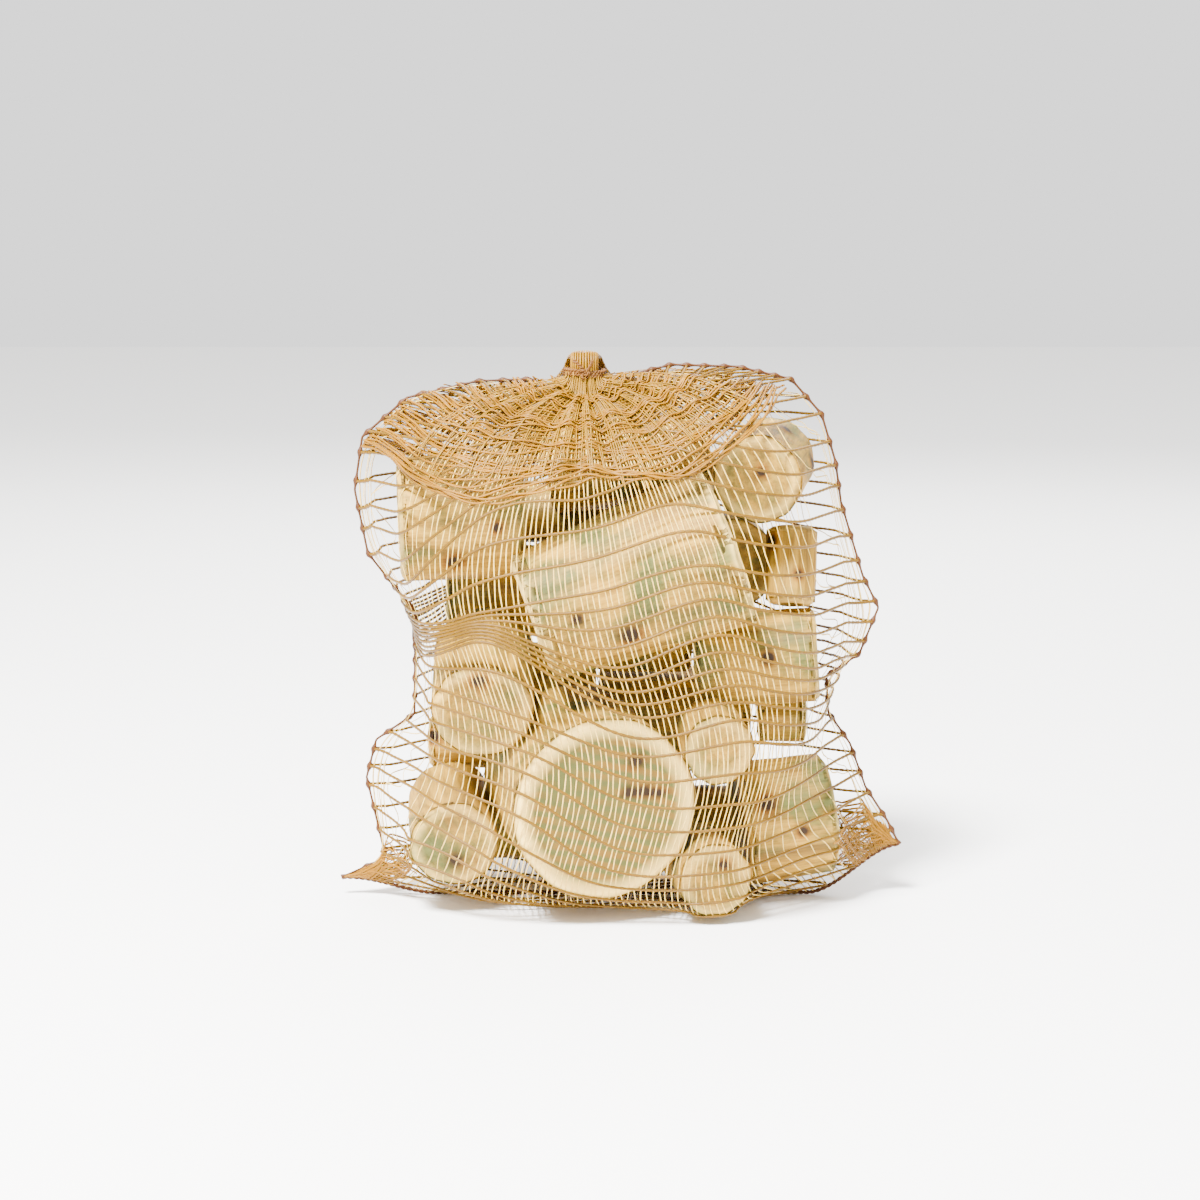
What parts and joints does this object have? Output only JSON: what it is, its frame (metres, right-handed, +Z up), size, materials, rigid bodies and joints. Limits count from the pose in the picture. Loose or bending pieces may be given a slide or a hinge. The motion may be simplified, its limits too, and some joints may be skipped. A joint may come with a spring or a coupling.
{
  "type": "mesh produce bag",
  "caption": "Amber open-mesh net sack, seamed at the sides and bottom and tied at a gathered neck, filled with short debarked logs.",
  "frame": {"origin": "on the ground under the middle of the standing bag", "axes": "+X across the bag to the right as it is faced, +Y towards its back, +Z up"},
  "size_m": [0.2786, 0.151, 0.2649],
  "materials": {
    "net": "satin",
    "seam": "matte",
    "twine": "matte",
    "peeled_wood": "matte"
  },
  "bodies": {
    "bag": {"net_front_panel": "net", "net_back_panel": "net", "side_seam_left": "seam", "side_seam_right": "seam", "bottom_seam": "seam", "neck_tie": "twine", "log_centre": "peeled_wood", "log_top_middle": "peeled_wood", "log_top_right": "peeled_wood", "log_upper_left": "peeled_wood", "log_left_middle": "peeled_wood", "log_right_middle": "peeled_wood", "log_front_round": "peeled_wood", "log_right_round": "peeled_wood", "log_bottom_left": "peeled_wood", "log_bottom_middle": "peeled_wood", "log_bottom_right": "peeled_wood", "log_centre_rear": "peeled_wood", "log_right_rear": "peeled_wood", "log_back_bottom_left": "peeled_wood", "log_back_bottom_right": "peeled_wood", "log_back_middle_left": "peeled_wood", "log_back_middle_right": "peeled_wood", "log_back_upper_left": "peeled_wood", "log_back_top_left": "peeled_wood", "log_core_middle": "peeled_wood", "log_core_left": "peeled_wood", "log_core_right": "peeled_wood", "log_back_top_right": "peeled_wood"},
    "mouth": {"mouth_tail": "net", "mouth_hem": "seam"}
  },
  "joints": [
    {"name": "mouth_fold", "type": "hinge", "parent": "bag", "child": "mouth", "pos_m": [-0.018, 0.003, 0.261], "axis": [1, 0, 0], "range_deg": [0, 150]}
  ]
}
